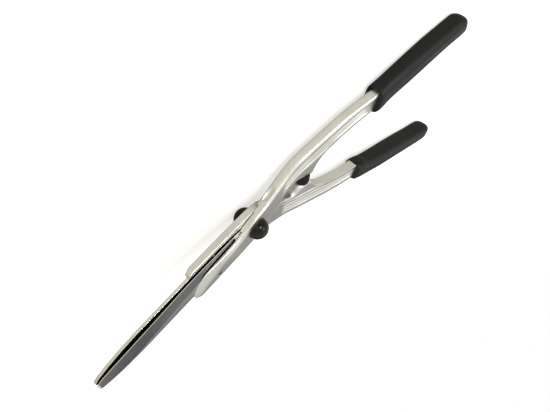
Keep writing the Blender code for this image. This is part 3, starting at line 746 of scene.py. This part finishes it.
class Look:
    """A material whose procedural nodes are added one call at a time."""

    def __init__(self, name, roughness, metallic=0.0, **sockets):
        self.material = bpy.data.materials.new(name)
        self.material.use_nodes = True
        self.tree = self.material.node_tree
        self.shader = self.tree.nodes["Principled BSDF"]
        self.shader.inputs["Roughness"].default_value = roughness
        self.shader.inputs["Metallic"].default_value = metallic
        for socket, value in sockets.items():
            self.shader.inputs[socket.replace("_", " ")].default_value = value
        self.coordinates = self.tree.nodes.new("ShaderNodeTexCoord")
        self.normal = None

    def link(self, source, target):
        self.tree.links.new(source, target)

    def noise(self, scale, detail=4.0, roughness=0.6, distortion=0.0):
        """Noise whose scale, per metre along the tool's own X, Y and Z, may differ."""
        mapping = self.tree.nodes.new("ShaderNodeMapping")
        mapping.vector_type = "TEXTURE"
        mapping.inputs["Rotation"].default_value = (0.0, CRANK, 0.0)
        mapping.inputs["Scale"].default_value = tuple(1.0 / value for value in scale)
        texture = self.tree.nodes.new("ShaderNodeTexNoise")
        texture.inputs["Scale"].default_value = 1.0
        texture.inputs["Detail"].default_value = detail
        texture.inputs["Roughness"].default_value = roughness
        texture.inputs["Distortion"].default_value = distortion
        self.link(self.coordinates.outputs["Object"], mapping.inputs["Vector"])
        self.link(mapping.outputs["Vector"], texture.inputs["Vector"])
        return texture.outputs["Fac"]

    def cells(self, scale, smoothness=0.6):
        texture = self.tree.nodes.new("ShaderNodeTexVoronoi")
        texture.feature = "SMOOTH_F1"
        texture.inputs["Scale"].default_value = scale
        texture.inputs["Smoothness"].default_value = smoothness
        self.link(self.coordinates.outputs["Object"], texture.inputs["Vector"])
        return texture.outputs["Distance"]

    def share(self, factor, low, high, to_low=0.0, to_high=1.0):
        """The factor from low to high spread over to_low to to_high."""
        spreader = self.tree.nodes.new("ShaderNodeMapRange")
        spreader.inputs["From Min"].default_value = low
        spreader.inputs["From Max"].default_value = high
        spreader.inputs["To Min"].default_value = to_low
        spreader.inputs["To Max"].default_value = to_high
        self.link(factor, spreader.inputs["Value"])
        return spreader.outputs["Result"]

    def sum(self, first, second, operation="ADD"):
        adder = self.tree.nodes.new("ShaderNodeMath")
        adder.operation = operation
        self.link(first, adder.inputs[0])
        self.link(second, adder.inputs[1])
        return adder.outputs["Value"]

    def tone(self, clouds, dark, light):
        """Colour that drifts from dark to light with the clouds."""
        colours = self.tree.nodes.new("ShaderNodeValToRGB")
        for element, colour in zip(colours.color_ramp.elements, (dark, light)):
            element.color = (*colour, 1.0)
        self.link(self.share(clouds, 0.3, 0.7), colours.inputs["Fac"])
        return colours.outputs["Color"]

    def blend(self, factor, first, second):
        mixer = self.tree.nodes.new("ShaderNodeMix")
        mixer.data_type = "RGBA"
        self.link(factor, mixer.inputs["Factor"])
        for source, socket in ((first, mixer.inputs[6]), (second, mixer.inputs[7])):
            if isinstance(source, tuple):
                socket.default_value = (*source, 1.0)
            else:
                self.link(source, socket)
        return mixer.outputs[2]

    def colour(self, source):
        self.link(source, self.shader.inputs["Base Color"])

    def rough(self, source):
        self.link(source, self.shader.inputs["Roughness"])

    def bump(self, height, distance_mm, strength=1.0):
        bumper = self.tree.nodes.new("ShaderNodeBump")
        bumper.inputs["Strength"].default_value = strength
        bumper.inputs["Distance"].default_value = distance_mm * MM
        self.link(height, bumper.inputs["Height"])
        if self.normal:
            self.link(self.normal, bumper.inputs["Normal"])
        self.normal = bumper.outputs["Normal"]
        self.link(self.normal, self.shader.inputs["Normal"])


def forged_aluminium():
    """Tumbled and satin polished: clouded, with brighter rub marks along the arm."""
    look = Look("forged_aluminium", 0.36, 1.0)
    clouds = look.noise((28.0, 28.0, 28.0), 3.0)
    brushing = look.noise((60.0, 1500.0, 1500.0), 3.0, 0.7)
    tone = look.tone(clouds, (0.70, 0.69, 0.65), (0.80, 0.79, 0.745))
    tone = look.blend(look.share(brushing, 0.55, 0.75, 0.0, 0.35), tone, (0.86, 0.85, 0.81))
    look.colour(tone)
    look.rough(look.share(look.sum(clouds, brushing), 0.7, 1.3, 0.31, 0.42))
    look.bump(brushing, 0.012)
    look.bump(look.noise((420.0, 420.0, 420.0), 2.0), 0.03, 0.5)
    return look.material


def blade_steel(name, dark, light, low, high, across, edge=(1.0, 1.0, 1.0)):
    """Ground steel: fine parallel lines, across the blade or along it."""
    # edge tints the reflections; the dark tint that the inside passes here is painted dark reflection.
    look = Look("blade_steel_" + name, 0.25, 1.0, Specular_Tint=(*edge, 1.0))
    lines = look.noise((1600.0, 40.0, 40.0) if across else (30.0, 1500.0, 1500.0), 3.0, 0.7)
    clouds = look.noise((14.0, 40.0, 40.0), 3.0)
    tone = look.tone(clouds, dark, light)
    shine = tuple(min(value * 1.25, 0.95) for value in light)
    look.colour(look.blend(look.share(lines, 0.5, 0.8, 0.0, 0.3), tone, shine))
    look.rough(look.share(look.sum(clouds, lines), 0.7, 1.3, low, high))
    look.bump(lines, 0.01, 0.7)
    return look.material


def plated_steel(name, tone, low, high):
    look = Look(name, 0.3, 1.0)
    clouds = look.noise((160.0, 160.0, 160.0), 4.0)
    fine = look.noise((1500.0, 1500.0, 1500.0), 2.0)
    look.colour(look.tone(clouds, tuple(value * 0.82 for value in tone), tone))
    look.rough(look.share(look.sum(clouds, fine), 0.7, 1.3, low, high))
    look.bump(fine, 0.01)
    return look.material


def grip_rubber():
    """Soft satin rubber with a fine leathery grain and a little dust in it."""
    look = Look("grip_rubber", 0.45, Specular_IOR_Level=0.28)
    clouds = look.noise((30.0, 45.0, 45.0), 4.0)
    specks = look.noise((1400.0, 1400.0, 1400.0), 2.0)
    tone = look.tone(clouds, (0.003, 0.003, 0.003), (0.006, 0.006, 0.006))
    look.colour(look.blend(look.share(specks, 0.66, 0.8, 0.0, 0.3), tone, (0.025, 0.025, 0.025)))
    look.rough(look.share(clouds, 0.3, 0.7, 0.40, 0.52))
    look.bump(look.cells(1500.0), 0.03, 0.35)
    look.bump(look.noise((90.0, 90.0, 90.0), 3.0), 0.15, 0.35)
    return look.material


def moulded(name, dark, light, low, high, grain_mm, gloss=0.5):
    """Moulded plastic or rubber: cloudy gloss, faint flow marks and hairline scuffs."""
    look = Look(name, low, Specular_IOR_Level=gloss)
    clouds = look.noise((70.0, 70.0, 70.0), 4.0)
    scuffs = look.noise((900.0, 120.0, 900.0), 2.0, 0.5, 0.3)
    tone = look.tone(clouds, dark, light)
    pale = tuple(value * 2.5 + 0.01 for value in light)
    look.colour(look.blend(look.share(scuffs, 0.68, 0.8, 0.0, 0.25), tone, pale))
    look.rough(look.share(look.sum(clouds, scuffs), 0.7, 1.3, low, high))
    look.bump(clouds, grain_mm, 0.4)
    return look.material


def make_looks():
    blade = blade_steel("flat", (0.70, 0.66, 0.65), (0.84, 0.80, 0.79), 0.22, 0.34, False)
    # The bevel is the same ground steel as the flat. Its dark grey is painted dark reflection; only its
    # lines across the blade are its own.
    bevel = blade_steel("bevel", (0.15, 0.15, 0.155), (0.20, 0.20, 0.205), 0.24, 0.34, True)
    # The inside faces are painted nearly black, with a dark tint on their reflections: painted dark
    # reflection.
    painted_dark_tint = (0.2, 0.2, 0.2)
    inside = blade_steel("painted_dark_reflection", (0.030, 0.026, 0.023), (0.050, 0.045, 0.040), 0.18, 0.28, False, painted_dark_tint)
    edges = blade_steel("edges", (0.70, 0.69, 0.64), (0.80, 0.79, 0.74), 0.20, 0.30, False)
    return {
        "arm": forged_aluminium(),
        "blade": [blade, bevel, inside, edges],
        "steel": plated_steel("zinc_plated_steel", (0.62, 0.63, 0.65), 0.25, 0.4),
        "screw": plated_steel("blackened_steel", (0.20, 0.20, 0.20), 0.3, 0.45),
        "spring": plated_steel("oiled_spring_steel", (0.35, 0.36, 0.38), 0.25, 0.4),
        "bronze": plated_steel("sintered_bronze", (0.60, 0.42, 0.22), 0.35, 0.5),
        "grip": grip_rubber(),
        "buffer": moulded("buffer_rubber", (0.006,) * 3, (0.012,) * 3, 0.5, 0.65, 0.12, 0.2),
        "cap": moulded("cap_plastic", (0.006, 0.006, 0.005), (0.012, 0.011, 0.009), 0.08, 0.13, 0.05, 0.22),
        "seat": moulded("seat_plastic", (0.014,) * 3, (0.022,) * 3, 0.28, 0.40, 0.06),
        "nylon": moulded("locking_nylon", (0.62, 0.62, 0.56), (0.74, 0.74, 0.68), 0.4, 0.55, 0.06),
    }


# The model.


def stand_for(obj, node, body):
    """Takes a finished piece from the pivot's frame to the row's, in place of a CAD node."""
    obj.data.transform(PLACE)
    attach(obj, body)
    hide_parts(node)


def dress():
    """Makes every finer piece, and gives the CAD nodes that stay their finishes."""
    looks = make_looks()
    halves = {"upper": "upper_half", "lower": "lower_half"}
    for side, body in halves.items():
        upper = side == "upper"
        place = as_built if upper else half_turn
        shifts = UPPER_MOUTH if upper else LOWER_MOUTH
        arm = build_arm("arm_" + side, 1 if upper else -1, looks["arm"])
        stand_for(arm, "arm_" + side, body)
        stand_for(build_blade("blade_" + side, place, looks["blade"]), "blade_" + side, body)
        stand_for(build_grip("grip_" + side, not upper, shifts, looks["grip"]), "grip_" + side, body)
        screw = build_screw("blade_screw_" + side, place, looks["screw"])
        stand_for(screw, "blade_screw_" + side, body)
    for side, place in (("front", as_built), ("rear", half_turn)):
        stand_for(build_cap("cap_" + side, place, looks["cap"]), "cap_" + side, "lower_half")
        seat = build_cap_seat("cap_seat_" + side, place, looks["seat"])
        stand_for(seat, "cap_seat_" + side, "lower_half")
    stand_for(build_buffer(looks["buffer"]), "rubber_buffer", "upper_half")
    kept = {
        "pivot_bush": "bronze", "pivot_bolt": "steel", "washer_front": "steel", "pivot_nut": "steel",
        "disc_spring_inner": "spring", "disc_spring_outer": "spring", "nut_locking_ring": "nylon",
        "screw_washer_upper": "spring", "screw_washer_lower": "spring",
    }
    for node, look in kept.items():
        mesh = frame["nodes"][node].data
        mesh.materials.clear()
        mesh.materials.append(looks[look])


# The studio. The camera's place is in metres, its turn in degrees and its lens in millimetres.

CAMERA_AT = (-0.31627, 0.74603, 0.33248)
CAMERA_TURN = (-61.8922, -40.4367, 3.1241)
LENS = 46.393

# Brightness of the room from its far side to the camera's side.
ROOM = [
    (0.0, (0.20, 0.20, 0.215)), (0.085, (0.20, 0.20, 0.215)), (0.14, (0.80, 0.80, 0.77)),
    (0.30, (0.95, 0.95, 0.90)), (0.62, (0.70, 0.70, 0.68)), (1.0, (0.40, 0.39, 0.36)),
]


def light(name, place, aim, size, watts, tint):
    """A round soft light that faces the aim."""
    lamp = bpy.data.lights.new(name, "AREA")
    lamp.shape = "DISK"
    lamp.size = size
    lamp.energy = watts
    lamp.color = tint
    obj = bpy.data.objects.new(name, lamp)
    bpy.context.scene.collection.objects.link(obj)
    obj.location = place
    obj.rotation_euler = (Vector(aim) - Vector(place)).to_track_quat("-Z", "Y").to_euler()
    return obj


def build_floor():
    """A pale table top with a painted glow that only the camera sees: it grows with distance from the tool,
    fades the floor to white and lightens the tool's shadow.
    """
    size = 6.0
    mesh = bpy.data.meshes.new("studio_floor")
    level = -0.0003
    corners = [(-size, -size, level), (size, -size, level), (size, size, level), (-size, size, level)]
    mesh.from_pydata(corners, [], [[0, 1, 2, 3]])
    look = Look("studio_floor", 0.7, Specular_IOR_Level=0.2)
    look.shader.inputs["Base Color"].default_value = (0.66, 0.65, 0.60, 1.0)
    look.shader.inputs["Emission Color"].default_value = (1.0, 1.0, 1.0, 1.0)
    distance = look.tree.nodes.new("ShaderNodeVectorMath")
    distance.operation = "LENGTH"
    look.link(look.coordinates.outputs["Object"], distance.inputs[0])
    # Painted glow: emission seen only by the camera, weaker near the tool and full far out. It stands in
    # for light on the floor and lightens the tool's shadow.
    glow = look.share(distance.outputs["Value"], 0.3, 2.2, 0.62, 1.0)
    rays = look.tree.nodes.new("ShaderNodeLightPath")
    seen = look.sum(glow, rays.outputs["Is Camera Ray"], "MULTIPLY")
    look.link(seen, look.shader.inputs["Emission Strength"])
    look.bump(look.noise((350.0, 350.0, 350.0), 2.0), 0.02, 0.2)
    floor = piece("studio_floor", mesh, look.material)


def build_world():
    """White to the camera, and a room that is bright on the camera's side for everything else."""
    world = bpy.data.worlds.new("studio")
    bpy.context.scene.world = world
    world.use_nodes = True
    tree = world.node_tree
    backdrop = tree.nodes["Background"]
    backdrop.inputs["Color"].default_value = (1.0, 1.0, 1.0, 1.0)
    backdrop.inputs["Strength"].default_value = 1.0
    room = tree.nodes.new("ShaderNodeBackground")
    direction = tree.nodes.new("ShaderNodeTexCoord")
    parts = tree.nodes.new("ShaderNodeSeparateXYZ")
    tree.links.new(direction.outputs["Generated"], parts.inputs["Vector"])
    spreader = tree.nodes.new("ShaderNodeMapRange")
    spreader.inputs["From Min"].default_value = -1.0
    spreader.inputs["From Max"].default_value = 1.0
    tree.links.new(parts.outputs["Y"], spreader.inputs["Value"])
    ramp = tree.nodes.new("ShaderNodeValToRGB")
    elements = ramp.color_ramp.elements
    while len(elements) < len(ROOM):
        elements.new(0.5)
    for element, (position, colour) in zip(elements, ROOM):
        element.position = position
        element.color = (*colour, 1.0)
    tree.links.new(spreader.outputs["Result"], ramp.inputs["Fac"])
    tree.links.new(ramp.outputs["Color"], room.inputs["Color"])
    rays = tree.nodes.new("ShaderNodeLightPath")
    either = tree.nodes.new("ShaderNodeMixShader")
    tree.links.new(rays.outputs["Is Camera Ray"], either.inputs["Fac"])
    tree.links.new(room.outputs["Background"], either.inputs[1])
    tree.links.new(backdrop.outputs["Background"], either.inputs[2])
    tree.links.new(either.outputs["Shader"], tree.nodes["World Output"].inputs["Surface"])


def build_studio():
    scene = bpy.context.scene
    scene.view_settings.view_transform = "Standard"
    build_floor()
    build_world()
    light("soft_top", (0.8, 0.5, 1.5), (0.05, 0.0, 0.0), 1.0, 6.5, (0.88, 0.92, 1.0))
    light("soft_side", (-0.6, 1.6, 0.7), (0.0, 0.0, 0.02), 1.4, 3.0, (1.0, 0.98, 0.93))
    light("spark", (0.17, 0.95, 0.74), (-0.05, 0.0, 0.03), 0.26, 4.8, (1.0, 0.97, 0.90))
    camera = bpy.data.objects.new("camera", bpy.data.cameras.new("camera"))
    scene.collection.objects.link(camera)
    camera.location = CAMERA_AT
    camera.rotation_euler = [math.radians(turn) for turn in CAMERA_TURN]
    camera.data.lens = LENS
    camera.data.sensor_width = 36.0
    camera.data.clip_start = 0.01
    scene.camera = camera


dress()
build_studio()
